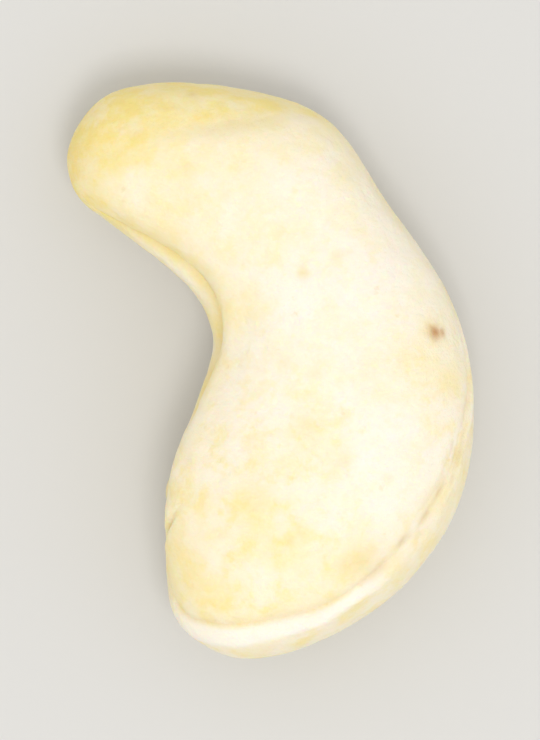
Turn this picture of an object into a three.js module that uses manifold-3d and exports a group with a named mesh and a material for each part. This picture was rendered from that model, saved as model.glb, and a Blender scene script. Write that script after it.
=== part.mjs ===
// Cashew kernel: two seed halves and a root tip that grew as one curved piece.
// Millimetres, +Z up. It lies on its side, with its back towards +X and its small end towards +Y.
import * as THREE from 'three';
import { mergeVertices } from 'three/addons/utils/BufferGeometryUtils.js';
import Module from 'manifold-3d';

// Outline seen from above: the two ends, and ribs across the kernel from its back to its hollow side
const smallEnd = [-9.3, 9.7];
const bigEnd = [-1.35, -13.3];
const ribs = [
  { back: [-7.7, 12.2], hollow: [-8.8, 7.75] },
  { back: [-5.1, 12.8], hollow: [-7.0, 6.25] },
  { back: [-1.6, 12.6], hollow: [-4.65, 4.6] },
  { back: [2.35, 11.3], hollow: [-3.1, 3.1] },
  { back: [5.3, 7.35], hollow: [-2.4, 1.0] },
  { back: [7.8, 3.55], hollow: [-3.25, -1.6] },
  { back: [9.15, -1.2], hollow: [-4.7, -4.8] },
  { back: [8.4, -6.65], hollow: [-5.05, -7.8] },
  { back: [4.9, -11.0], hollow: [-4.2, -11.45] },
];

// Thickness, square to the plane of the bend
const smallEndThickness = 7.9;
const bigEndThickness = 10.7;
const smallEndTaper = 4;
const bigEndTaper = 6;
const sectionFullness = 0.9;

// Bearings run round the seam from the small end, with the back at 90 degrees and the big end at 180.
// A stretch of bearings, in degrees, is faded in over its first two values and out over its last two.
const degrees = Math.PI / 180;

// Seam between the halves: it climbs onto the upper side round the big end, and a little on the small limb
const bigEndLift = 21 * degrees;
const bigEndLiftStretch = [100, 138, 166, 218];
const smallLimbLift = 22 * degrees;
const smallLimbLiftStretch = [236, 300, 300, 352];
const seamDepth = 0.16;
const seamWidth = 0.25;
const seamLipHeight = 0.03;
const seamLipReach = 0.55;
const seamLipWidth = 0.35;

// Rim of the lower half, which stands proud of the upper half below the lifted seam
const rimStretch = [96, 138, 186, 212];
const rimHeight = 0.12;
const rimReach = 0.36;
const rimWidth = 0.3;

// Lip of the lower half below the lifted seam on the hollow side of the small limb
const limbLipStretch = [272, 300, 300, 328];
const limbLipHeight = 0.14;
const limbLipReach = 0.8;
const limbLipWidth = 0.6;

// Crease on the hollow side, between the two rounded lobes, and shallower along the small limb
const creaseDepth = 0.72;
const creaseWidth = 0.75;
const creaseStart = 0.2;
const creaseFull = 0.8;
const shallowFrom = 268 * degrees;
const shallowFull = 312 * degrees;
const shallowShare = 0.35;
const lobeHeight = 0.28;
const lobeReach = 2.1;
const lobeWidth = 1.3;

// Root tip: a low nub in the crease near the big end, with a small notch beyond it
const rootTipPlace = 230 * degrees;
const rootTipHeight = 0.45;
const rootTipLength = 6 * degrees;
const rootTipWidth = 0.5;
const notchPlace = 216 * degrees;
const notchDepth = 0.38;
const notchLength = 1.5 * degrees;
const notchRise = 0.2;
const notchWidth = 1.1;

// Soft fold on the upper side of the small limb: an arc that leaves the seam, follows the back and returns
const foldMiddle = 30 * degrees;
const foldReach = 44 * degrees;
const foldRise = 4.05;
const foldDepth = 0.14;
const foldWidth = 0.5;
const stripDepth = 0.09;

// Slow unevenness of the whole surface: two crossed pairs of waves, each with its pitch and its start
const unevenHeight = 0.06;
const unevenPairs = [
  { first: { axis: 'x', pitch: 1.1, start: 0.4 }, second: { axis: 'y', pitch: 1.87, start: 1.3 } },
  { first: { axis: 'y', pitch: 1.32, start: 2.1 }, second: { axis: 'z', pitch: 1.1, start: 0.6 } },
];

// Flat spot that the kernel lies on
const restDepth = 0.17;
const cutterSize = 60;

// Facets round the seam and from the underside to the top, which crowd towards the seam
const facetsAround = 120;
const facetsAcross = 44;
const seamCrowding = 0.62;

const kernelMaterial = new THREE.MeshStandardMaterial({ color: 0xf6e8bd, roughness: 0.62, metalness: 0 });

// A closed curve from the small end down the back, round the big end and up the hollow side
function makeOutline() {
  const back = ribs.map((rib) => rib.back);
  const hollow = ribs.map((rib) => rib.hollow).reverse();
  const points = [smallEnd, ...back, bigEnd, ...hollow];
  return new THREE.CatmullRomCurve3(points.map(([x, y]) => new THREE.Vector3(x, y, 0)), true);
}

// Keeps the sign of a sine or cosine and makes the oval of the section fuller
function fuller(value) {
  return Math.sign(value) * Math.pow(Math.abs(value), sectionFullness);
}

// Half the thickness at a place along the kernel, from 0 at the small end to 1 at the big end
function halfThickness(along) {
  return THREE.MathUtils.lerp(smallEndThickness, bigEndThickness, along) / 2;
}

// How much of that thickness is left where the kernel rounds off towards an end
function endRounding(along) {
  const fromMiddle = 2 * along - 1;
  const taper = fromMiddle < 0 ? smallEndTaper : bigEndTaper;
  return 1 - Math.pow(Math.abs(fromMiddle), taper);
}

// 1 within a stretch of bearings, faded in and out at its ends
function within(bearing, [start, full, fall, end]) {
  const rise = THREE.MathUtils.smoothstep(bearing, start * degrees, full * degrees);
  return rise * (1 - THREE.MathUtils.smoothstep(bearing, fall * degrees, end * degrees));
}

// The angle that the seam is raised by at a bearing
function seamLift(bearing) {
  const bigEndShare = within(bearing, bigEndLiftStretch);
  return bigEndLift * bigEndShare + smallLimbLift * within(bearing, smallLimbLiftStretch);
}

// Bearing round the seam and height above it, both as angles, of a point on the unit sphere
function seamAngles(point) {
  const bearing = (Math.atan2(point.x, point.y) + 2 * Math.PI) % (2 * Math.PI);
  const latitude = Math.asin(THREE.MathUtils.clamp(point.z, -1, 1));
  return { bearing, latitude: latitude - (seamCrowding * Math.sin(2 * latitude)) / 2 };
}

// The smooth kernel: carries a bearing and latitude to a point of the surface
function smoothPoint(outline, bearing, latitude) {
  const share = (2 * latitude) / Math.PI;
  const raised = latitude + seamLift(bearing) * (1 - share * share);
  const towardsBack = Math.sin(bearing) * Math.cos(raised);
  const towardsTip = Math.cos(bearing) * Math.cos(raised);
  const upwards = Math.sin(raised);
  const along = Math.acos(THREE.MathUtils.clamp(towardsTip, -1, 1)) / Math.PI;
  const radius = Math.hypot(towardsBack, upwards) || 1;
  const back = outline.getPoint(along / 2);
  const hollow = outline.getPoint((1 - along / 2) % 1);
  const across = (1 + fuller(towardsBack / radius)) / 2;
  const point = hollow.lerp(back, across);
  const half = halfThickness(along);
  point.z = half + half * endRounding(along) * fuller(upwards / radius);
  return point;
}

// A rounded hump that is 1 at its middle and has faded out two widths away
function hump(distance, width) {
  return Math.exp(-Math.pow(distance / width, 2));
}

// The seam line with its low lips, and the rim and lip of the lower half where the seam is lifted
function seamRelief(bearing, above) {
  const lips = hump(above - seamLipReach, seamLipWidth) + hump(above + seamLipReach, seamLipWidth);
  const rim = rimHeight * within(bearing, rimStretch) * hump(above + rimReach, rimWidth);
  const limbLip = limbLipHeight * within(bearing, limbLipStretch) * hump(above + limbLipReach, limbLipWidth);
  return seamLipHeight * lips + rim + limbLip - seamDepth * hump(above, seamWidth);
}

// The crease of the hollow side and the lobes beside it
function creaseRelief(bearing, above) {
  const hollowSide = THREE.MathUtils.smoothstep(-Math.sin(bearing), creaseStart, creaseFull);
  const alongLimb = THREE.MathUtils.smoothstep(bearing, shallowFrom, shallowFull);
  const strength = hollowSide * THREE.MathUtils.lerp(1, shallowShare, alongLimb);
  const lobes = hump(above - lobeReach, lobeWidth) + hump(above + lobeReach, lobeWidth);
  return strength * (lobeHeight * lobes - creaseDepth * hump(above, creaseWidth));
}

// The root tip in the crease, and the notch beyond it
function rootTipRelief(bearing, above) {
  const tip = hump(bearing - rootTipPlace, rootTipLength) * hump(above, rootTipWidth);
  const notch = hump(bearing - notchPlace, notchLength) * hump(above - notchRise, notchWidth);
  return rootTipHeight * tip - notchDepth * notch;
}

// The soft fold on the upper side of the small limb, and the strip beyond it, which lies a little lower
function foldRelief(bearing, above) {
  const fromMiddle = ((bearing - foldMiddle + Math.PI) % (2 * Math.PI)) - Math.PI;
  const arc = Math.sqrt(Math.max(0, 1 - Math.pow(fromMiddle / foldReach, 2)));
  const belowFold = THREE.MathUtils.smoothstep(foldRise * arc - above, 0, foldWidth);
  const strip = belowFold * THREE.MathUtils.smoothstep(above, -foldWidth, foldWidth);
  return -arc * (stripDepth * strip + foldDepth * hump(above - foldRise * arc, foldWidth));
}

function wave(point, { axis, pitch, start }) {
  return Math.sin(point[axis] / pitch + start);
}

// Slow swells that run in all three directions
function unevenRelief(point) {
  const swells = unevenPairs.map(({ first, second }) => wave(point, first) * wave(point, second));
  return unevenHeight * (swells[0] + swells[1]) / 2;
}

// The closed faceted skin of the kernel, with its relief raised along the normals
function makeSkin() {
  const outline = makeOutline();
  const sphere = new THREE.SphereGeometry(1, facetsAround, facetsAcross);
  sphere.deleteAttribute('normal');
  sphere.deleteAttribute('uv');
  sphere.rotateX(Math.PI / 2);
  const skin = mergeVertices(sphere);
  const places = skin.getAttribute('position');
  const angles = [];
  for (let i = 0; i < places.count; i += 1) {
    const seam = seamAngles(new THREE.Vector3().fromBufferAttribute(places, i));
    const point = smoothPoint(outline, seam.bearing, seam.latitude);
    places.setXYZ(i, point.x, point.y, point.z);
    angles.push(seam);
  }
  skin.computeVertexNormals();
  const normals = skin.getAttribute('normal');
  for (let i = 0; i < places.count; i += 1) {
    const { bearing, latitude } = angles[i];
    const above = latitude * bigEndThickness / 2;
    const point = new THREE.Vector3().fromBufferAttribute(places, i);
    const height = seamRelief(bearing, above) + creaseRelief(bearing, above)
      + rootTipRelief(bearing, above) + foldRelief(bearing, above) + unevenRelief(point);
    point.addScaledVector(new THREE.Vector3().fromBufferAttribute(normals, i), height);
    places.setXYZ(i, point.x, point.y, point.z);
  }
  skin.deleteAttribute('normal');
  return skin;
}

function toSolid(wasm, geometry) {
  const vertProperties = new Float32Array(geometry.getAttribute('position').array);
  const triVerts = new Uint32Array(geometry.getIndex().array);
  return new wasm.Manifold(new wasm.Mesh({ numProp: 3, vertProperties, triVerts }));
}

function toGeometry(solid) {
  const mesh = solid.getMesh();
  const geometry = new THREE.BufferGeometry();
  geometry.setAttribute('position', new THREE.BufferAttribute(mesh.vertProperties, 3));
  geometry.setIndex(new THREE.BufferAttribute(mesh.triVerts, 1));
  return geometry;
}

// Takes the lowest sliver off the skin, which leaves the flat spot
function cutFlatSpot(wasm, skin) {
  skin.computeBoundingBox();
  const floorHeight = skin.boundingBox.min.z + restDepth;
  const cutter = new THREE.BoxGeometry(cutterSize, cutterSize, cutterSize);
  cutter.deleteAttribute('normal');
  cutter.deleteAttribute('uv');
  cutter.translate(0, 0, floorHeight - cutterSize / 2);
  const below = toSolid(wasm, mergeVertices(cutter));
  return toGeometry(toSolid(wasm, skin).subtract(below));
}

// Puts the origin under the middle of the kernel, at the height of its flat spot
function standOnOrigin(geometry) {
  geometry.computeBoundingBox();
  const { min, max } = geometry.boundingBox;
  geometry.translate(-(min.x + max.x) / 2, -(min.y + max.y) / 2, -min.z);
  geometry.computeVertexNormals();
  return geometry;
}

const wasm = await Module();
wasm.setup();

const kernel = new THREE.Mesh(standOnOrigin(cutFlatSpot(wasm, makeSkin())), kernelMaterial);
kernel.name = 'kernel';

const group = new THREE.Group();
group.add(kernel);
export default group;
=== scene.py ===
"""Dresses one cashew kernel: a fine skin over its plain solid, its finish, floor, light and camera."""
import math
from collections import namedtuple

import bpy
import numpy as np
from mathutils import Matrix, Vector, noise


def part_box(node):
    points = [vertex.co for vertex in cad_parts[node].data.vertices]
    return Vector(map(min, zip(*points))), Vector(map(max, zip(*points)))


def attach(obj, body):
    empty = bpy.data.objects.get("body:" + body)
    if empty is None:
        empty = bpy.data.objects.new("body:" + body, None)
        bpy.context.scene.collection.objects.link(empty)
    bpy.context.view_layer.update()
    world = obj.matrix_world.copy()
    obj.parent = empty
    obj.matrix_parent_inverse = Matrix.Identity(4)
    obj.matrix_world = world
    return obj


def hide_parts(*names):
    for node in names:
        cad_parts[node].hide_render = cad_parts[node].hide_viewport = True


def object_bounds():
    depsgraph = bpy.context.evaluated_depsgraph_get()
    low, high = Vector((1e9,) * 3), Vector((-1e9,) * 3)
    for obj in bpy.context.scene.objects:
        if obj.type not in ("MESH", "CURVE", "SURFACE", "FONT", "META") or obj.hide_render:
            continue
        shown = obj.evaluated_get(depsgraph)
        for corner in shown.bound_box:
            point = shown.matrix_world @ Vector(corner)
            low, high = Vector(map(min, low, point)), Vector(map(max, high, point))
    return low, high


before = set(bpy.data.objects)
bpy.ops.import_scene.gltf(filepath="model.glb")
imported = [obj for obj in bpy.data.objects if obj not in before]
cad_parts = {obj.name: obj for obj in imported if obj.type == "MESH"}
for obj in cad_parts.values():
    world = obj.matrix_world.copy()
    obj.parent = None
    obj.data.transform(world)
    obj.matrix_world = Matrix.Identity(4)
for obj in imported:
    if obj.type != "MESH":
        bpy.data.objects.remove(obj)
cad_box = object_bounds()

MM = 0.001
DEGREE = math.pi / 180
TINY = 1e-9  # keeps a division off zero at the ends

# The kernel's sizes are in millimetres, with x towards its back and y towards its small end.
# Bearings run round the seam from the small end, with the back at 90 degrees and the big end at 180.
# A stretch of bearings, in degrees, is faded in over its first two values and out over its last two.
# A fade is the range that something is faded in over, and a loss is the share that is taken off.
# Swells are smooth noise, with a height, the pitch of the lumps and a shift that sets where they fall.
# A squeeze says how many times closer together the lumps are along x, y and z.
Swell = namedtuple("Swell", "height pitch shift")
Wave = namedtuple("Wave", "axis pitch start")

# Outline seen from above: two ends, and ribs from the back to the hollow side
SMALL_END = (-9.3, 9.7)
BIG_END = (-1.35, -13.3)
RIBS = [
    ((-7.7, 12.2), (-8.8, 7.75)),
    ((-5.1, 12.8), (-7.0, 6.25)),
    ((-1.6, 12.6), (-4.65, 4.6)),
    ((2.35, 11.3), (-3.1, 3.1)),
    ((5.3, 7.35), (-2.4, 1.0)),
    ((7.8, 3.55), (-3.25, -1.6)),
    ((9.15, -1.2), (-4.7, -4.8)),
    ((8.4, -6.65), (-5.05, -7.8)),
    ((4.9, -11.0), (-4.2, -11.45)),
]
OUTLINE_SAMPLES = 1600
OUTLINE_SMOOTHING = 14  # samples

# Thickness, square to the plane of the bend
SMALL_END_THICKNESS = 7.9
BIG_END_THICKNESS = 10.7
SMALL_END_TAPER = 4
BIG_END_TAPER = 6
SECTION_FULLNESS = 0.9

# Flat spot that the kernel lies on
REST_DEPTH = 0.17
REST_SOFTNESS = 0.05

# Seam between the halves: bearings in degrees and the angles that it is raised by there. It climbs onto
# the upper side round the big end, and a little on the hollow side of the small limb.
SEAM_LIFTS = np.array([
    (0, 0),
    (100, 0),
    (138, 18.5),
    (152, 21),
    (160, 21),
    (174, 17),
    (218, 0),
    (236, 0),
    (300, 22),
    (352, 0),
    (360, 0),
]) * DEGREE
SEAM_WANDERS = [Swell(0.10, 2.6, 11.0), Swell(0.03, 0.7, 5.0)]
SEAM_OPENS = Swell(0.5, 3.1, 23.0)
SEAM_DEPTH = 0.13
SEAM_DEPTH_ON_RIM = 0.07
SEAM_WIDTH = 0.10
SEAM_WIDTH_ON_RIM = 0.13
SEAM_LIP_HEIGHT = 0.03
SEAM_LIP_REACH = 0.45
SEAM_LIP_WIDTH = 0.3

# Short stretch of the back where the seam is nearly closed
CLOSED_PLACE = 117 * DEGREE
CLOSED_REACH = 14 * DEGREE
CLOSED_LOSS = 0.85

# Stretch where the lifted seam is no line, but a band of streaks. The strong ones have a bearing and a
# half length in degrees, a height above the seam and a strength.
STREAKY_STRETCH = (126, 138, 154, 162)
STREAKY_SEAM_LOSS = 0.9
STREAKY_RIDGE_LOSS = 0.8
STREAK_DEPTH = 0.06
STREAK_WIDTH = 0.12
STRONG_STREAKS = [
    (157.0, 1.6, 0.15, 1.0),
    (153.2, 1.1, -0.10, 0.5),
    (150.6, 2.0, 0.06, 0.8),
    (145.2, 2.2, 0.08, 0.6),
    (141.6, 1.2, -0.16, 0.45),
    (138.6, 1.9, 0.00, 0.6),
]
FAINT_STREAKS = Swell(1.0, 0.62, 9.0)
FAINT_STREAKS_SQUEEZE = (1.0, 1.0, 2.6)
FAINT_STREAKS_FADE = (0.02, 0.3)
FAINT_STREAKS_STRENGTH = 0.5
FAINT_STREAKS_HEIGHT = -0.02
FAINT_STREAKS_WIDTH = 0.42

# Rim of the lower half below the lifted seam: a ridge that broadens towards the hollow side.
# The upper half ends in a shoulder above it.
RIM_STRETCH = (96, 138, 186, 212)
RIDGE_HEIGHT = 0.11
RIDGE_GAP = 0.15
RIDGE_EDGE = 0.08
RIDGE_NARROW = 0.36
RIDGE_BROAD = 0.68
RIDGE_BROADENS = (167 * DEGREE, 198 * DEGREE)
RIDGE_UNEVEN = Swell(0.3, 1.3, 31.0)
SHOULDER_DEPTH = 0.06
SHOULDER_WIDTH = 0.5

# Lip of the lower half below the lifted seam on the hollow side of the small limb
LIMB_LIP_STRETCH = (272, 300, 300, 328)
LIMB_LIP_HEIGHT = 0.14
LIMB_LIP_REACH = 0.8
LIMB_LIP_WIDTH = 0.6

# Crease of the hollow side between two rounded lobes: it fades in as the bearing turns that way, and is
# shallower along the small limb. It has a narrow slit at its bottom and puckers on its sides.
CREASE_FADE = (0.2, 0.8)
CREASE_SHALLOWS = (268 * DEGREE, 312 * DEGREE)
CREASE_SHALLOW_LOSS = 0.65
CREASE_DEPTH = 0.5
CREASE_WIDTH = 0.9
LOBE_HEIGHT = 0.28
LOBE_REACH = 2.1
LOBE_WIDTH = 1.3
SLIT_DEPTH = 0.28
SLIT_WIDTH = 0.28
SLIT_WANDERS = Swell(0.08, 1.5, 3.0)
PUCKERS = Swell(0.04, 0.55, 17.0)
PUCKERS_SQUEEZE = (1.0, 1.0, 0.25)
PUCKERS_WIDTH = 1.7

# Root tip: a nub in the crease with a shallow ring round it. A length here is a share of its reach along
# the crease.
ROOT_TIP_PLACE = 230 * DEGREE
ROOT_TIP_REACH = 7 * DEGREE
ROOT_TIP_HEIGHT = 0.36
ROOT_TIP_LENGTH = 0.8
ROOT_TIP_WIDTH = 0.45
SLIT_GAP_LENGTH = 1.1
RING_DEPTH = 0.12
RING_LENGTH = 1.25
RING_WIDTH = 0.85
RING_EDGE = 0.22

# Small notch that leaves the crease beyond the root tip and slants over the upper lobe
NOTCH_PLACE = 216.3 * DEGREE
NOTCH_PLACE_HEIGHT = 0.9
NOTCH_SLANT = 1.8 * DEGREE  # to each millimetre of height
NOTCH_REACH = 1.2 * DEGREE
NOTCH_DEPTH = 0.5
NOTCH_HEIGHT = 0.8
NOTCH_WIDTH = 0.85

# Soft fold on the upper side of the small limb: an arc that leaves the seam, follows the back and
# returns. The strip between the fold and the seam lies a little lower.
FOLD_MIDDLE = 30 * DEGREE
FOLD_REACH = 44 * DEGREE
FOLD_RISE = 4.05
FOLD_DEPTH = 0.13
FOLD_WIDTH = 0.45
FOLD_DEEPEST = 40 * DEGREE
FOLD_DEEPEST_REACH = 30 * DEGREE
STRIP_DEPTH = 0.09
STRIP_UPPER_FADE = (-0.2, 0.7)
STRIP_LOWER_FADE = (-0.6, 0.4)

# Whole surface: slow unevenness in two crossed pairs of waves, dents, pits and wrinkles along the limb.
# Axes 0, 1 and 2 are x, y and z. A band of wrinkles has its height above the seam and its width.
UNEVEN_HEIGHT = 0.06
UNEVEN_PAIRS = [
    (Wave(0, 1.1, 0.4), Wave(1, 1.87, 1.3)),
    (Wave(1, 1.32, 2.1), Wave(2, 1.1, 0.6)),
]
DENTS = [Swell(0.08, 4.2, 7.0), Swell(0.03, 1.7, 41.0), Swell(0.015, 0.7, 53.0)]
PITS = Swell(1.0, 0.9, 29.0)
PITS_FADE = (0.25, 0.6)
PITS_DEPTH = 0.03
WRINKLES = Swell(0.025, 0.8, 61.0)
WRINKLE_BANDS = [(2.4, 1.6), (-2.6, 1.8)]
FLOW_BALL = (6, 10, 5)  # half its width, length and height

# Columns and rows of points on the fine skin
COLUMNS = 480
ROWS = 180
SEAM_CROWDING = 0.5

# Pale layer: the ridge, which starts round the big end, and the lip on the small limb, partly painted
# highlights, and patches, some lightening the shaded back edge
PALE_RIDGE_STARTS = (158 * DEGREE, 167 * DEGREE)
PALE_RIDGE_LOWER_FADE = (-0.12, 0.08)
PALE_RIDGE_UPPER_FADE = (-0.12, 0.03)
PALE_LIP_STRENGTH = 0.75
PALE_LIP_REACH = 0.75
PALE_LIP_WIDTH = 0.45
PALE_PATCH_STRENGTH = 0.65

# Stain along the seam line: broken, and fainter where the seam is closed, by the ridge and by the lip
STAIN_BREAKS = Swell(1.0, 1.6, 71.0)
STAIN_BREAKS_FADE = (-0.35, 0.45)
STAIN_WEAKEST = 0.3
STAIN_WIDTH = 0.13
STAIN_WIDTH_ON_RIM = 0.20
STAIN_RISE_ON_RIM = 0.05
STAIN_CLOSED_LOSS = 0.9
STAIN_RIDGE_STRETCH = (158, 167, 200, 220)
STAIN_RIDGE_LOSS = 0.7
STAIN_LIP_LOSS = 0.7

# Painted shade in the bottom of the crease
CREASE_SHADE_FADE = (0.25, 0.75)
CREASE_SHADE_WIDTH = 0.55
CREASE_SHADE_SHALLOWS = (268 * DEGREE, 300 * DEGREE)
CREASE_SHADE_SHALLOW_LOSS = 0.75

# Tan painted shade along the fold and in the groove above the lip of the small limb
FOLD_SHADE_STRENGTH = 0.7
FOLD_SHADE_PLACE = 42 * DEGREE
FOLD_SHADE_REACH = 28 * DEGREE
FOLD_SHADE_RISE = 0.15
FOLD_SHADE_WIDTH = 0.42
GROOVE_SHADE_STRENGTH = 0.6
GROOVE_SHADE_HEIGHT = 0.3
GROOVE_SHADE_WIDTH = 0.7

# Golden layer, partly toasted flesh and partly painted warm shade where the sides turn down: bearings in
# degrees and how strong that golden shade next to the seam is there, the shares and widths in which it
# fades out with height, the small limb and the strip below the fold (also partly painted shade), the rim
# and patches
EDGE_SHADE_BY_BEARING = [
    (0, 1.0),
    (25, 0.8),
    (50, 0.6),
    (75, 0.5),
    (105, 0.3),
    (130, 0.3),
    (180, 0.3),
    (205, 0.6),
    (225, 0.55),
    (250, 0.7),
    (270, 0.8),
    (305, 0.85),
    (330, 0.5),
    (350, 0.85),
    (360, 1.0),
]
EDGE_SHADE_WIDTHS = [(0.35, 3.6), (0.65, 2.2)]
EDGE_SHADE_RIM_LOSS = 0.5
GOLDEN_TIP = (-8.6, 11.2)
GOLDEN_TIP_FADE = (2.0, 7.5)
LIMB_GOLD_AND_SHADE_STRENGTH = 0.6
STRIP_SHADE_STRENGTH = 0.8
GOLDEN_RIM_STRENGTH = 0.28
GOLDEN_RIM_FADE = (0.0, 0.5)
GOLDEN_PATCH_STRENGTH = 0.35
# Deepest gold: painted shade with some toasting, right next to the seam
DEEP_SHADE_WIDTH = 1.9

# Mottling: strong on the small limb, weak beside it, and faded in again towards the big end
MOTTLED_WEAKEST = 0.4
MOTTLED_FADE = (-1.0, 3.0)

# Spots on the upper side, with how uneven their edges are: x, y, radius and strength
FINE_EDGE = Swell(0.25, 0.3, 83.0)
LOBED_EDGE = Swell(0.3, 0.9, 19.0)
BROWN_FLECKS = [
    (7.46, 1.75, 0.34, 0.85),
    (7.76, 1.72, 0.26, 0.6),
    (-3.5, 12.45, 0.20, 0.15),
]
TAN_SPOTS = [
    (1.45, 4.35, 0.28, 1.0),
    (2.95, 5.1, 0.30, 0.45),
    (0.55, 0.25, 0.40, 0.35),
    (2.0, -0.25, 0.36, 0.4),
    (1.6, -2.4, 0.50, 0.45),
    (1.0, -2.8, 0.35, 0.35),
    (3.4, -4.1, 0.38, 0.55),
    (5.2, -4.85, 0.28, 0.4),
    (-2.2, -7.3, 0.34, 0.45),
    (-0.6, -5.5, 0.45, 0.3),
    (0.85, -7.7, 0.22, 0.55),
    (1.25, -7.35, 0.22, 0.55),
    (4.05, -8.5, 0.65, 1.0),
    (3.5, -8.75, 0.45, 0.8),
    (4.65, -8.1, 0.40, 0.8),
    (-6.0, 10.7, 0.45, 0.4),
    (-3.8, 9.0, 0.50, 0.35),
    (-3.5, 12.4, 0.45, 0.7),
    (0.4, 11.95, 0.8, 0.6),
    (-2.0, 7.8, 0.30, 0.3),
]
GOLDEN_PATCHES = [
    (-8.8, 9.4, 1.2, 1.0),
    (7.15, 1.75, 0.45, 1.0),
    (3.3, -8.8, 1.3, 1.3),
    (7.6, -6.0, 1.2, 1.2),
    (-2.6, -10.8, 1.7, 1.6),
    (1.4, -7.3, 1.0, 0.7),
    (-0.6, -6.9, 1.7, 1.5),
    (-0.6, 2.8, 0.8, 0.7),
    (-0.3, -4.6, 1.6, 0.8),
    (3.0, 4.9, 0.6, 0.6),
    (8.2, -0.3, 0.9, 0.9),
    (7.2, -3.1, 0.7, 0.7),
    (2.0, -2.8, 0.8, 1.0),
    (3.1, -3.4, 0.9, 0.8),
    (5.9, 0.2, 0.6, 0.5),
    (-0.6, -8.1, 0.9, 0.9),
    (0.6, 10.4, 1.6, 1.0),
    (-0.9, 8.6, 1.6, 0.7),
    (-4.3, 9.1, 0.9, 1.0),
]
PALE_PATCHES = [
    (-6.2, 8.0, 1.1, 1.0),
    (5.6, -4.4, 2.4, 1.4),
    (2.9, -0.9, 1.2, 0.7),
    (3.0, 7.3, 1.4, 0.6),
    (6.2, 4.0, 1.3, 0.8),
    (1.6, 2.7, 1.5, 0.7),
    (3.8, 2.5, 1.7, 0.8),
    (3.3, -6.8, 0.9, 0.8),
    (-0.6, -9.2, 0.5, 0.6),
    (7.3, 3.2, 1.0, 0.6),
]

# Colours of the flesh, and of the painted shade and highlight laid over it
IVORY = (0.905, 0.834, 0.705)
CREAM = (0.90, 0.808, 0.585)
GOLD_MOTTLE_AND_SHADE = (0.875, 0.727, 0.265)
DEEP_GOLD_AND_SHADE = (0.85, 0.65, 0.17)
POWDER = (0.91, 0.853, 0.74)
PALE_AND_HIGHLIGHT = (0.92, 0.866, 0.765)
TAN_AND_SHADE = (0.78, 0.63, 0.26)
SPECK_BROWN = (0.73, 0.56, 0.25)
CREASE_SHADE_BROWN = (0.75, 0.57, 0.25)
STAIN_BROWN = (0.62, 0.44, 0.16)
FLECK_BROWN = (0.48, 0.20, 0.05)

# Grains are noise in the material, with a scale in lumps to the metre
Grain = namedtuple("Grain", "scale detail roughness distortion", defaults=(0.0,))
CLOUDS = Grain(300, 5.0, 0.6)
MOTTLING = Grain(620, 6.0, 0.62, 0.4)
RAGGED_EDGES = Grain(680, 6.0, 0.65)
GOLDEN_SPOTS = Grain(1350, 5.0, 0.6)
DARK_SPECKS = Grain(1300, 3.0, 0.55)
FINE_POWDER = Grain(3200, 4.0, 0.6)
FINISH = Grain(900, 4.0, 0.55)
COARSE_BUMPS = Grain(1700, 3.0, 0.55)
FINE_BUMPS = Grain(4200, 4.0, 0.65)

# Coats laid over the ivory in turn. A coat lies where its painted layer does, and is broken up by its
# grain: it goes from its weakest to its strength as the noise goes through its fade.
Coat = namedtuple("Coat", "colour strength layer grain fade weakest", defaults=(None, None, None, 0.0))
COATS = [
    Coat(CREAM, 1.0, grain=CLOUDS, fade=(0.38, 0.66)),
    Coat(GOLD_MOTTLE_AND_SHADE, 0.55, "mottled", MOTTLING, (0.47, 0.70)),
    Coat(GOLD_MOTTLE_AND_SHADE, 0.45, "mottled", GOLDEN_SPOTS, (0.53, 0.72)),
    Coat(POWDER, 0.35, grain=FINE_POWDER, fade=(0.45, 0.70)),
    # Golden coat: partly toasted flesh, partly painted warm shade on the sides next to the seam, the small
    # limb and the strip below its fold
    Coat(GOLD_MOTTLE_AND_SHADE, 1.0, "golden_and_edge_shade", RAGGED_EDGES, (0.33, 0.67), weakest=0.4),
    # Deepest gold: painted shade with some toasting, closest to the seam
    Coat(DEEP_GOLD_AND_SHADE, 0.8, "deep_gold_and_edge_shade", RAGGED_EDGES, (0.3, 0.7), weakest=0.4),
    # Pale coat: paler ridge and lip, partly painted highlights, and patches, some lightening the shaded
    # back edge
    Coat(PALE_AND_HIGHLIGHT, 0.9, "pale_and_highlight"),
    Coat(SPECK_BROWN, 0.3, grain=DARK_SPECKS, fade=(0.68, 0.78)),
    # Painted shade in the crease and painted shadow in the notch
    Coat(CREASE_SHADE_BROWN, 0.5, "crease_and_notch_shade"),
    Coat(STAIN_BROWN, 0.5, "stain"),
    # Tan spots, and painted shade along the fold and in the groove above the small limb's lip
    Coat(TAN_AND_SHADE, 0.55, "tan_and_shade"),
    Coat(FLECK_BROWN, 1.0, "fleck"),
]

# Finish of the flesh, which light sinks into a little
FINISH_FADE = (0.3, 0.7)
SMOOTHEST = 0.46
ROUGHEST = 0.64
SPECULAR = 0.35
SUBSURFACE_WEIGHT = 0.6
SUBSURFACE_DEPTH = 1.2 * MM
SUBSURFACE_BY_COLOUR = (1.0, 0.55, 0.25)
BUMP_STRENGTH = 0.7
BUMP_HEIGHT = 0.09 * MM
COARSE_BUMP_SHARE = 1.5

# Floor, light and camera, in metres
FLOOR_COLOUR = (0.65, 0.64, 0.615)
FLOOR_ROUGHNESS = 0.9
FLOOR_SPECULAR = 0.1
FLOOR_REACH = 3.0
ROOM_BRIGHTNESS = 0.94
LAMP_PLACE = (0.03, -0.10, 0.44)
LAMP_SIZE = 0.12
LAMP_WATTS = 0.55
CAMERA_DISTANCE = 0.5
CAMERA_SENSOR = 36  # millimetres
CAMERA_CLIP = (0.01, 10)
VIEW_HEIGHT = 0.0335


def smoothstep(value, low, high):
    share = np.clip((value - low) / (high - low), 0, 1)
    return share * share * (3 - 2 * share)


def hump(distance, width):
    """1 at its middle, and faded out two widths away."""
    return np.exp(-((distance / width) ** 2))


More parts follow.
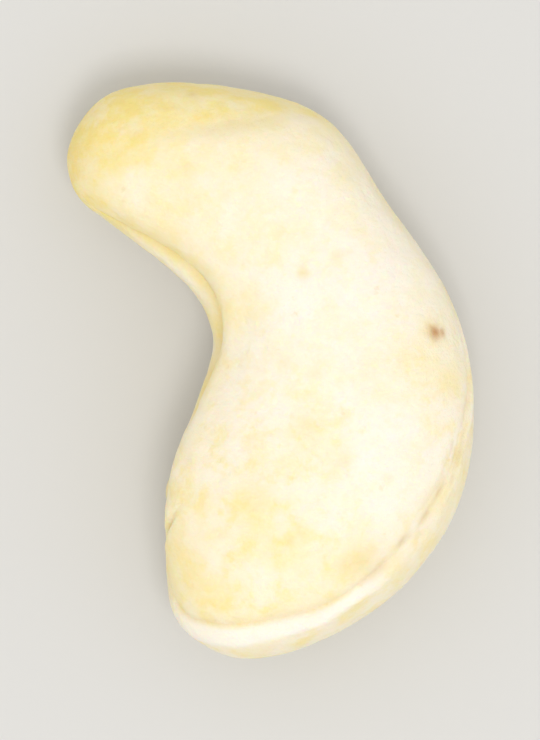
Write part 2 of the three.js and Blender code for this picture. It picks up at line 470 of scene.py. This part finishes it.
def on_both_sides(distance, reach, width):
    return hump(distance - reach, width) + hump(distance + reach, width)


def between(first, second, share):
    """Goes from the first to the second value as the share goes from 0 to 1."""
    return first + (second - first) * share


def within(bearing, stretch):
    """1 within a stretch of bearings, faded in and out at its ends."""
    start, full, fall, end = (angle * DEGREE for angle in stretch)
    return smoothstep(bearing, start, full) * (1 - smoothstep(bearing, fall, end))


def turn_from(place, bearing):
    """The signed angle from a place round the seam to a bearing, the short way round."""
    return (bearing - place + math.pi) % (2 * math.pi) - math.pi


def swell(points, layer):
    """Smooth noise at each point, up to the layer's height either way."""
    moved = points / layer.pitch + layer.shift
    return layer.height * np.array([noise.noise(Vector(place)) for place in moved])


def span(first, second):
    """Pace of the outline between points: the square root of their distance."""
    return np.sqrt(np.linalg.norm(second - first, axis=1))[:, None]


def slope(before, middle, after):
    """Direction of the outline at the middle one of three points."""
    arriving = span(before, middle)
    leaving = span(middle, after)
    slant = (middle - before) / arriving + (after - middle) / leaving
    return slant - (after - before) / (arriving + leaving)


def make_outline():
    """Samples of the closed outline, which runs down the back and up the hollow side."""
    backs, hollows = zip(*RIBS)
    points = np.array([SMALL_END, *backs, BIG_END, *reversed(hollows)])
    count = len(points)
    place = np.arange(OUTLINE_SAMPLES) / OUTLINE_SAMPLES * count
    index = place.astype(int)
    step = (place - index)[:, None]
    before, start, end, after = (points[(index + offset) % count] for offset in (-1, 0, 1, 2))
    leave = span(start, end) * slope(before, start, end)
    arrive = span(start, end) * slope(start, end, after)
    curve = start + leave * step + (3 * (end - start) - 2 * leave - arrive) * step**2
    curve = curve + (2 * (start - end) + leave + arrive) * step**3
    reach = 4 * OUTLINE_SMOOTHING
    offsets = np.arange(-reach, reach + 1)
    weights = hump(offsets, OUTLINE_SMOOTHING * math.sqrt(2))
    weights /= weights.sum()
    return sum(weight * np.roll(curve, offset, axis=0) for weight, offset in zip(weights, offsets))


OUTLINE = make_outline()


def outline_at(share):
    """The point of the outline at each share of the way round it."""
    samples = np.arange(OUTLINE_SAMPLES) / OUTLINE_SAMPLES
    return np.column_stack([np.interp(share, samples, places, period=1) for places in OUTLINE.T])


def fuller(value):
    """Keeps the sign of a sine or cosine and makes the oval of the section fuller."""
    return np.sign(value) * np.abs(value) ** SECTION_FULLNESS


def end_rounding(along):
    """How much of the thickness is left where the kernel rounds off towards an end."""
    from_middle = 2 * along - 1
    return 1 - np.abs(from_middle) ** np.where(from_middle < 0, SMALL_END_TAPER, BIG_END_TAPER)


def seam_lift(bearing):
    """The angle that the seam is raised by at a bearing."""
    places, lifts = SEAM_LIFTS.T
    after = np.clip(np.searchsorted(places, bearing, side="right"), 1, len(places) - 1)
    step = smoothstep(bearing, places[after - 1], places[after])
    return between(lifts[after - 1], lifts[after], step)


def smooth_form(bearing, latitude):
    """Points of the kernel without relief: bearings round the seam and latitudes from it give them."""
    share = latitude / (90 * DEGREE)
    raised = latitude + seam_lift(bearing) * (1 - share**2)
    towards_back = np.sin(bearing) * np.cos(raised)
    upwards = np.sin(raised)
    along = np.arccos(np.clip(np.cos(bearing) * np.cos(raised), -1, 1)) / math.pi
    radius = np.maximum(np.hypot(towards_back, upwards), TINY)
    back, hollow = outline_at(along / 2), outline_at(1 - along / 2)
    across = (1 + fuller(towards_back / radius)) / 2
    plan = between(hollow, back, across[:, None])
    half = between(SMALL_END_THICKNESS, BIG_END_THICKNESS, along) / 2
    height = half + half * end_rounding(along) * fuller(upwards / radius)
    return np.column_stack([plan, height])


def flow_of(bearing, above):
    """Places on a squat ball in the kernel's stead, in which noise runs along the limb."""
    latitude = above * 2 / BIG_END_THICKNESS
    level = np.cos(latitude)
    ball = np.column_stack([level * np.sin(bearing), level * np.cos(bearing), np.sin(latitude)])
    return ball * FLOW_BALL


def from_seam_line(above, points):
    """Height above the seam line, which strays a little from its smooth course."""
    return above - sum(swell(points, wander) for wander in SEAM_WANDERS)


def streaks(bearing, above):
    """Short streaks along the seam, from 0 to 1: a few strong ones, with fainter ones round them."""
    squeezed = flow_of(bearing, above) * FAINT_STREAKS_SQUEEZE
    faint = smoothstep(swell(squeezed, FAINT_STREAKS), *FAINT_STREAKS_FADE)
    band = within(bearing, STREAKY_STRETCH) * hump(above - FAINT_STREAKS_HEIGHT, FAINT_STREAKS_WIDTH)
    found = FAINT_STREAKS_STRENGTH * faint * band
    for place, reach, height, strength in STRONG_STREAKS:
        streak = hump(bearing - place * DEGREE, reach * DEGREE) * hump(above - height, STREAK_WIDTH)
        found = np.maximum(found, strength * streak)
    return found


def seam_relief(bearing, above, points):
    """The fine line between the halves, which opens and closes a little, and its low lips."""
    from_line = from_seam_line(above, points)
    rim = within(bearing, RIM_STRETCH)
    closed = 1 - CLOSED_LOSS * hump(bearing - CLOSED_PLACE, CLOSED_REACH)
    unstreaked = 1 - STREAKY_SEAM_LOSS * within(bearing, STREAKY_STRETCH)
    opening = closed * (1 + swell(points, SEAM_OPENS)) * unstreaked
    depth = between(SEAM_DEPTH, SEAM_DEPTH_ON_RIM, rim) * opening
    line = depth * hump(from_line, between(SEAM_WIDTH, SEAM_WIDTH_ON_RIM, rim))
    lips = on_both_sides(from_line, SEAM_LIP_REACH, SEAM_LIP_WIDTH)
    shoulder = rim * closed * hump(np.maximum(from_line, 0), SHOULDER_WIDTH) * (from_line > 0)
    lowered = line + STREAK_DEPTH * streaks(bearing, above) + SHOULDER_DEPTH * shoulder
    return SEAM_LIP_HEIGHT * closed * lips - lowered


def ridge_width(bearing):
    return between(RIDGE_NARROW, RIDGE_BROAD, smoothstep(bearing, *RIDGE_BROADENS))


def rim_relief(bearing, above, points):
    """The ridge and the lip of the lower half, where the seam is lifted."""
    from_line = from_seam_line(above, points)
    width = ridge_width(bearing)
    unstreaked = 1 - STREAKY_RIDGE_LOSS * within(bearing, STREAKY_STRETCH)
    height = RIDGE_HEIGHT * within(bearing, RIM_STRETCH) * unstreaked
    ridge = height * hump(from_line + RIDGE_GAP + width / 2, RIDGE_EDGE + width / 2)
    ridge = ridge * (1 + swell(points, RIDGE_UNEVEN))
    limb_lip = within(bearing, LIMB_LIP_STRETCH) * hump(above + LIMB_LIP_REACH, LIMB_LIP_WIDTH)
    return ridge + LIMB_LIP_HEIGHT * limb_lip


def crease_relief(bearing, above, points):
    """The crease of the hollow side with its slit, its puckers and the lobes beside it."""
    side = smoothstep(-np.sin(bearing), *CREASE_FADE)
    side = side * (1 - CREASE_SHALLOW_LOSS * smoothstep(bearing, *CREASE_SHALLOWS))
    lobes = LOBE_HEIGHT * on_both_sides(above, LOBE_REACH, LOBE_WIDTH)
    from_tip = (bearing - ROOT_TIP_PLACE) / ROOT_TIP_REACH
    slit = hump(above - swell(points, SLIT_WANDERS), SLIT_WIDTH) * (1 - hump(from_tip, SLIT_GAP_LENGTH))
    bottom = CREASE_DEPTH * hump(above, CREASE_WIDTH) + SLIT_DEPTH * slit
    puckers = hump(above, PUCKERS_WIDTH) * swell(points * PUCKERS_SQUEEZE, PUCKERS)
    return side * (lobes - bottom + puckers)


def notch(bearing, above):
    """1 in the small notch beyond the root tip."""
    from_notch = bearing - NOTCH_PLACE - NOTCH_SLANT * (above - NOTCH_PLACE_HEIGHT)
    return hump(from_notch, NOTCH_REACH) * hump(above - NOTCH_HEIGHT, NOTCH_WIDTH)


def root_tip_relief(bearing, above):
    """The root tip in its ring, and the notch beyond it."""
    from_tip = (bearing - ROOT_TIP_PLACE) / ROOT_TIP_REACH
    nub = hump(from_tip, ROOT_TIP_LENGTH) * hump(above, ROOT_TIP_WIDTH)
    ring = hump(np.hypot(from_tip / RING_LENGTH, above / RING_WIDTH) - 1, RING_EDGE)
    return ROOT_TIP_HEIGHT * nub - RING_DEPTH * ring - NOTCH_DEPTH * notch(bearing, above)


def fold_height(bearing):
    """Height of the small limb's fold above the seam, as a share of its highest."""
    across = turn_from(FOLD_MIDDLE, bearing) / FOLD_REACH
    return np.sqrt(np.clip(1 - across**2, 0, 1))


def from_fold(bearing, above):
    return above - FOLD_RISE * fold_height(bearing)


def below_fold(bearing, above):
    """1 on the strip between the seam and the fold of the small limb, with soft edges."""
    upper_edge = smoothstep(-from_fold(bearing, above), *STRIP_UPPER_FADE)
    return upper_edge * smoothstep(above, *STRIP_LOWER_FADE)


def fold_relief(bearing, above):
    """The strip of the small limb below its fold lies a little lower, and most so at the fold."""
    fold = hump(from_fold(bearing, above), FOLD_WIDTH)
    fold = fold * hump(turn_from(FOLD_DEEPEST, bearing), FOLD_DEEPEST_REACH)
    return -fold_height(bearing) * (STRIP_DEPTH * below_fold(bearing, above) + FOLD_DEPTH * fold)


def wave(points, layer):
    return np.sin(points[:, layer.axis] / layer.pitch + layer.start)


def surface_relief(bearing, above, points):
    """Slow unevenness, dents, pits and fine wrinkles that run along the limb."""
    slow = sum(wave(points, first) * wave(points, second) for first, second in UNEVEN_PAIRS)
    dents = sum(swell(points, dent) for dent in DENTS)
    pits = smoothstep(swell(points, PITS), *PITS_FADE)
    bands = sum(hump(above - height, width) for height, width in WRINKLE_BANDS)
    wrinkles = bands * swell(flow_of(bearing, above), WRINKLES)
    return UNEVEN_HEIGHT * slow / 2 + dents - PITS_DEPTH * pits + wrinkles


def make_net():
    """Bearing and latitude of every point of the skin, and the faces between them."""
    turns = np.arange(COLUMNS) * 360 / COLUMNS * DEGREE
    rows = (np.arange(1, ROWS) / ROWS - 0.5) * 180 * DEGREE
    rows = rows - SEAM_CROWDING * np.sin(2 * rows) / 2
    bearing = np.concatenate([[0], np.tile(turns, ROWS - 1), [0]])
    latitude = np.concatenate([[-90 * DEGREE], np.repeat(rows, COLUMNS), [90 * DEGREE]])
    here = range(1, COLUMNS + 1)
    sides = list(zip(here, [*here[1:], here[0]]))
    faces = [(0, left, right) for left, right in sides]
    for row in range(ROWS - 2):
        low, high = row * COLUMNS, (row + 1) * COLUMNS
        faces += [(left + low, left + high, right + high, right + low) for left, right in sides]
    top = len(bearing) - 1
    last = (ROWS - 2) * COLUMNS
    faces += [(top, right + last, left + last) for left, right in sides]
    return bearing, latitude, faces


def normals_of(mesh):
    normals = np.zeros(3 * len(mesh.vertices))
    mesh.vertex_normals.foreach_get("vector", normals)
    return normals.reshape(-1, 3)


def set_on_floor(raised):
    """Moves the points to where the solid is, and presses the lowest ones softly onto the floor."""
    cad_low, cad_high = (np.array(corner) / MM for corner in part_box("kernel"))
    placed = raised.copy()
    placed[:, :2] += (cad_low + cad_high)[:2] / 2 - (raised.min(0) + raised.max(0))[:2] / 2
    placed[:, 2] += cad_low[2] - raised[:, 2].min() - REST_DEPTH
    placed[:, 2] = (placed[:, 2] + np.hypot(placed[:, 2], REST_SOFTNESS)) / 2
    return placed


# The skin's mesh, and where its points lie: round and above the seam, on the smooth form and in place
Skin = namedtuple("Skin", "mesh bearing above points placed")


def make_skin():
    """The fine kernel: its smooth form, with the relief raised along the normals."""
    bearing, latitude, faces = make_net()
    above = latitude * BIG_END_THICKNESS / 2
    points = smooth_form(bearing, latitude)
    mesh = bpy.data.meshes.new("kernel_skin")
    mesh.from_pydata(points.tolist(), [], faces)
    relief = seam_relief(bearing, above, points) + rim_relief(bearing, above, points)
    relief += crease_relief(bearing, above, points) + root_tip_relief(bearing, above)
    relief += fold_relief(bearing, above) + surface_relief(bearing, above, points)
    placed = set_on_floor(points + relief[:, None] * normals_of(mesh))
    mesh.vertices.foreach_set("co", (placed * MM).ravel())
    mesh.update()
    mesh.shade_smooth()
    return Skin(mesh, bearing, above, points, placed)


def spots(skin, places, edge):
    """Each listed spot at its strength, fading out at its radius."""
    uneven = 1 + swell(skin.placed, edge)
    found = np.zeros(len(skin.placed))
    for x, y, radius, strength in places:
        from_place = np.hypot(skin.placed[:, 0] - x, skin.placed[:, 1] - y)
        middle = skin.placed[np.where(skin.above > 0, from_place, np.inf).argmin()]
        distance = np.linalg.norm(skin.placed - middle, axis=1)
        found = np.maximum(found, strength * hump(distance, radius * uneven))
    return found


def edge_shade_strength(bearing):
    """How strong the golden painted shade next to the seam is at a bearing, with some toasting in it."""
    bearings, strengths = zip(*EDGE_SHADE_BY_BEARING)
    return np.interp(bearing / DEGREE, bearings, strengths)


def small_limb(skin):
    """1 round the tip of the small limb, fading out along it."""
    from_tip = np.hypot(skin.placed[:, 0] - GOLDEN_TIP[0], skin.placed[:, 1] - GOLDEN_TIP[1])
    return 1 - smoothstep(from_tip, *GOLDEN_TIP_FADE)


def paint_pale_and_highlight(skin):
    """The ridge on the rim and the lip on the small limb, pale and partly painted highlights, and the pale
    patches, some lightening the shaded back edge.
    """
    from_line = from_seam_line(skin.above, skin.points)
    ridge = within(skin.bearing, RIM_STRETCH) * smoothstep(skin.bearing, *PALE_RIDGE_STARTS)
    ridge = ridge * smoothstep(from_line + ridge_width(skin.bearing), *PALE_RIDGE_LOWER_FADE)
    ridge = ridge * (1 - smoothstep(from_line, *PALE_RIDGE_UPPER_FADE))
    lip = within(skin.bearing, LIMB_LIP_STRETCH) * hump(skin.above + PALE_LIP_REACH, PALE_LIP_WIDTH)
    patches = PALE_PATCH_STRENGTH * spots(skin, PALE_PATCHES, LOBED_EDGE)
    return np.maximum.reduce([ridge, PALE_LIP_STRENGTH * lip, patches])


def paint_stain(skin):
    """The broken brown line of the seam, and its streaks."""
    rim = within(skin.bearing, RIM_STRETCH)
    from_stain = from_seam_line(skin.above, skin.points) - STAIN_RISE_ON_RIM * rim
    breaks = smoothstep(swell(skin.placed, STAIN_BREAKS), *STAIN_BREAKS_FADE)
    stain = between(STAIN_WEAKEST, 1, breaks)
    stain = stain * hump(from_stain, between(STAIN_WIDTH, STAIN_WIDTH_ON_RIM, rim))
    stain = stain * (1 - STAIN_CLOSED_LOSS * hump(skin.bearing - CLOSED_PLACE, CLOSED_REACH))
    stain = stain * (1 - STAIN_RIDGE_LOSS * within(skin.bearing, STAIN_RIDGE_STRETCH))
    stain = stain * (1 - STAIN_LIP_LOSS * within(skin.bearing, LIMB_LIP_STRETCH))
    stain = stain * (1 - within(skin.bearing, STREAKY_STRETCH))
    return np.maximum(stain, streaks(skin.bearing, skin.above))


def paint_crease_shade(skin):
    """Painted shade along the bottom of the crease, and painted shadow in the notch."""
    side = smoothstep(-np.sin(skin.bearing), *CREASE_SHADE_FADE)
    side = side * (1 - CREASE_SHADE_SHALLOW_LOSS * smoothstep(skin.bearing, *CREASE_SHADE_SHALLOWS))
    return np.maximum(side * hump(skin.above, CREASE_SHADE_WIDTH), notch(skin.bearing, skin.above))


def paint_tan_and_shade(skin):
    """Painted tan shade along the fold's line and in the groove above the small limb's lip, and the tan
    spots.
    """
    fold = hump(turn_from(FOLD_SHADE_PLACE, skin.bearing), FOLD_SHADE_REACH)
    fold = fold * hump(from_fold(skin.bearing, skin.above) - FOLD_SHADE_RISE, FOLD_SHADE_WIDTH)
    groove = hump(skin.above - GROOVE_SHADE_HEIGHT, GROOVE_SHADE_WIDTH)
    groove = groove * within(skin.bearing, LIMB_LIP_STRETCH)
    shades = FOLD_SHADE_STRENGTH * fold + GROOVE_SHADE_STRENGTH * groove
    return np.maximum(shades, spots(skin, TAN_SPOTS, FINE_EDGE))


def paint_golden_and_edge_shade(skin):
    """Golden painted shade, with some toasting, on the flesh next to the seam, the small limb with the
    strip below its fold and the rim, and golden patches.
    """
    rim = within(skin.bearing, RIM_STRETCH)
    edge = sum(share * hump(skin.above, width) for share, width in EDGE_SHADE_WIDTHS)
    edge = edge * edge_shade_strength(skin.bearing) * (1 - EDGE_SHADE_RIM_LOSS * rim)
    limb = LIMB_GOLD_AND_SHADE_STRENGTH * small_limb(skin)
    strip = STRIP_SHADE_STRENGTH * below_fold(skin.bearing, skin.above)
    below_ridge = -from_seam_line(skin.above, skin.points) - ridge_width(skin.bearing)
    rim_gold = GOLDEN_RIM_STRENGTH * rim * smoothstep(below_ridge, *GOLDEN_RIM_FADE)
    patches = GOLDEN_PATCH_STRENGTH * spots(skin, GOLDEN_PATCHES, LOBED_EDGE)
    return np.clip(edge + limb + strip + rim_gold + patches, 0, 1)


def paint_deep_edge_shade(skin):
    """The deepest gold, painted shade with some toasting close to the seam, but not on the rim or the lip.
    """
    edge = edge_shade_strength(skin.bearing) ** 2 * hump(skin.above, DEEP_SHADE_WIDTH)
    off_rim = 1 - within(skin.bearing, RIM_STRETCH)
    off_lip = 1 - within(skin.bearing, LIMB_LIP_STRETCH)
    return edge * off_rim * off_lip


def paint_mottled(skin):
    """How strongly the flesh is mottled."""
    strongest = np.maximum(smoothstep(-skin.placed[:, 1], *MOTTLED_FADE), small_limb(skin))
    return between(MOTTLED_WEAKEST, 1, strongest)


def paint(skin):
    """Stores where the kernel is pale, golden, stained or flecked, and where shade and highlight are
    painted on it, for its material to read.
    """
    layers = {
        "pale_and_highlight": paint_pale_and_highlight(skin),
        "stain": paint_stain(skin),
        "crease_and_notch_shade": paint_crease_shade(skin),
        "fleck": spots(skin, BROWN_FLECKS, FINE_EDGE),
        "tan_and_shade": paint_tan_and_shade(skin),
        "golden_and_edge_shade": paint_golden_and_edge_shade(skin),
        "deep_gold_and_edge_shade": paint_deep_edge_shade(skin),
        "mottled": paint_mottled(skin),
    }
    for name, values in layers.items():
        layer = skin.mesh.attributes.new(name, "FLOAT", "POINT")
        layer.data.foreach_set("value", values.astype(np.float32))


class Nodes:
    """Adds and links the nodes of one material."""

    def __init__(self, material):
        material.use_nodes = True
        self.tree = material.node_tree
        self.tree.nodes.clear()

    def feed(self, socket, value):
        """Links a socket to another node's output, or gives it a plain number or colour."""
        if isinstance(value, bpy.types.NodeSocket):
            self.tree.links.new(value, socket)
        elif socket.type == "RGBA":
            socket.default_value = (*value, 1)
        else:
            socket.default_value = value

    def add(self, kind, inputs=None, **settings):
        node = self.tree.nodes.new(kind)
        for name, value in settings.items():
            setattr(node, name, value)
        for name, value in (inputs or {}).items():
            self.feed(node.inputs[name], value)
        return node

    def layer(self, name):
        """A painted layer of the mesh."""
        return self.add("ShaderNodeAttribute", attribute_name=name).outputs["Fac"]

    def noise(self, place, grain):
        inputs = {
            "Vector": place,
            "Scale": grain.scale,
            "Detail": grain.detail,
            "Roughness": grain.roughness,
            "Distortion": grain.distortion,
        }
        return self.add("ShaderNodeTexNoise", inputs).outputs["Fac"]

    def spread(self, value, fade, low, high):
        """Goes smoothly from low to high as the value goes through its fade."""
        start, end = fade
        inputs = {"Value": value, "From Min": start, "From Max": end, "To Min": low, "To Max": high}
        node = self.add("ShaderNodeMapRange", inputs, interpolation_type="SMOOTHSTEP")
        return node.outputs["Result"]

    def math(self, operation, first, second):
        node = self.add("ShaderNodeMath", operation=operation)
        self.feed(node.inputs[0], first)
        self.feed(node.inputs[1], second)
        return node.outputs[0]

    def mix(self, share, first, second):
        node = self.add("ShaderNodeMix", data_type="RGBA")
        sockets = {socket.identifier: socket for socket in (*node.inputs, *node.outputs)}
        self.feed(sockets["Factor_Float"], share)
        self.feed(sockets["A_Color"], first)
        self.feed(sockets["B_Color"], second)
        return sockets["Result_Color"]

    def surface(self, inputs):
        """The shader of the material's surface."""
        shader = self.add("ShaderNodeBsdfPrincipled", inputs)
        self.add("ShaderNodeOutputMaterial", {"Surface": shader.outputs["BSDF"]})


def coat_share(nodes, place, coat):
    """How much of a coat lies at each place."""
    share = coat.strength
    if coat.grain:
        share = nodes.spread(nodes.noise(place, coat.grain), coat.fade, coat.weakest, coat.strength)
    if coat.layer:
        share = nodes.math("MULTIPLY", nodes.layer(coat.layer), share)
    return share


def make_kernel_material():
    """Ivory seed flesh: mottled, with golden painted shade at the edges, a pale rim partly painted as
    highlight, painted shade in the crease and along the fold, a stained seam and flecks.
    """
    material = bpy.data.materials.new("kernel_flesh")
    nodes = Nodes(material)
    place = nodes.add("ShaderNodeTexCoord").outputs["Object"]
    colour = IVORY
    for coat in COATS:
        colour = nodes.mix(coat_share(nodes, place, coat), colour, coat.colour)
    coarse = nodes.math("MULTIPLY", nodes.noise(place, COARSE_BUMPS), COARSE_BUMP_SHARE)
    bumps = nodes.math("ADD", coarse, nodes.noise(place, FINE_BUMPS))
    bump = nodes.add("ShaderNodeBump", {
        "Strength": BUMP_STRENGTH,
        "Distance": BUMP_HEIGHT,
        "Height": bumps,
    })
    nodes.surface({
        "Base Color": colour,
        "Roughness": nodes.spread(nodes.noise(place, FINISH), FINISH_FADE, SMOOTHEST, ROUGHEST),
        "Specular IOR Level": SPECULAR,
        "Subsurface Weight": SUBSURFACE_WEIGHT,
        "Subsurface Radius": SUBSURFACE_BY_COLOUR,
        "Subsurface Scale": SUBSURFACE_DEPTH,
        "Normal": bump.outputs["Normal"],
    })
    return material


def make_kernel():
    skin = make_skin()
    paint(skin)
    kernel = bpy.data.objects.new("kernel_skin", skin.mesh)
    bpy.context.scene.collection.objects.link(kernel)
    skin.mesh.materials.append(make_kernel_material())
    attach(kernel, "root")
    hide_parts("kernel")


def make_floor():
    """A plain pale floor that runs out of every view."""
    mesh = bpy.data.meshes.new("floor")
    signs = ((-1, -1), (1, -1), (1, 1), (-1, 1))
    mesh.from_pydata([(x * FLOOR_REACH, y * FLOOR_REACH, 0) for x, y in signs], [], [(0, 1, 2, 3)])
    floor = bpy.data.objects.new("floor", mesh)
    bpy.context.scene.collection.objects.link(floor)
    material = bpy.data.materials.new("floor_paint")
    Nodes(material).surface({
        "Base Color": FLOOR_COLOUR,
        "Roughness": FLOOR_ROUGHNESS,
        "Specular IOR Level": FLOOR_SPECULAR,
    })
    mesh.materials.append(material)


def make_light():
    """An evenly white room, with one soft square lamp that faces the kernel."""
    world = bpy.data.worlds.new("soft_room")
    bpy.context.scene.world = world
    world.use_nodes = True
    background = world.node_tree.nodes["Background"]
    background.inputs["Color"].default_value = (1, 1, 1, 1)
    background.inputs["Strength"].default_value = ROOM_BRIGHTNESS
    data = bpy.data.lights.new("key", "AREA")
    data.size = LAMP_SIZE
    data.energy = LAMP_WATTS
    lamp = bpy.data.objects.new("key", data)
    bpy.context.scene.collection.objects.link(lamp)
    lamp.location = LAMP_PLACE
    lamp.rotation_mode = "QUATERNION"
    lamp.rotation_quaternion = Vector(LAMP_PLACE).to_track_quat("Z", "Y")


def make_camera():
    """Looks straight down at the kernel, with its small end towards the top of the picture."""
    data = bpy.data.cameras.new("camera")
    data.sensor_width = CAMERA_SENSOR
    data.lens = CAMERA_SENSOR * CAMERA_DISTANCE / VIEW_HEIGHT
    data.clip_start, data.clip_end = CAMERA_CLIP
    camera = bpy.data.objects.new("camera", data)
    bpy.context.scene.collection.objects.link(camera)
    low, high = cad_box
    camera.location = (Vector(low) + Vector(high)) / 2 + Vector((0, 0, CAMERA_DISTANCE))
    bpy.context.scene.camera = camera


make_kernel()
make_floor()
make_light()
make_camera()
bpy.context.scene.view_settings.view_transform = "Standard"
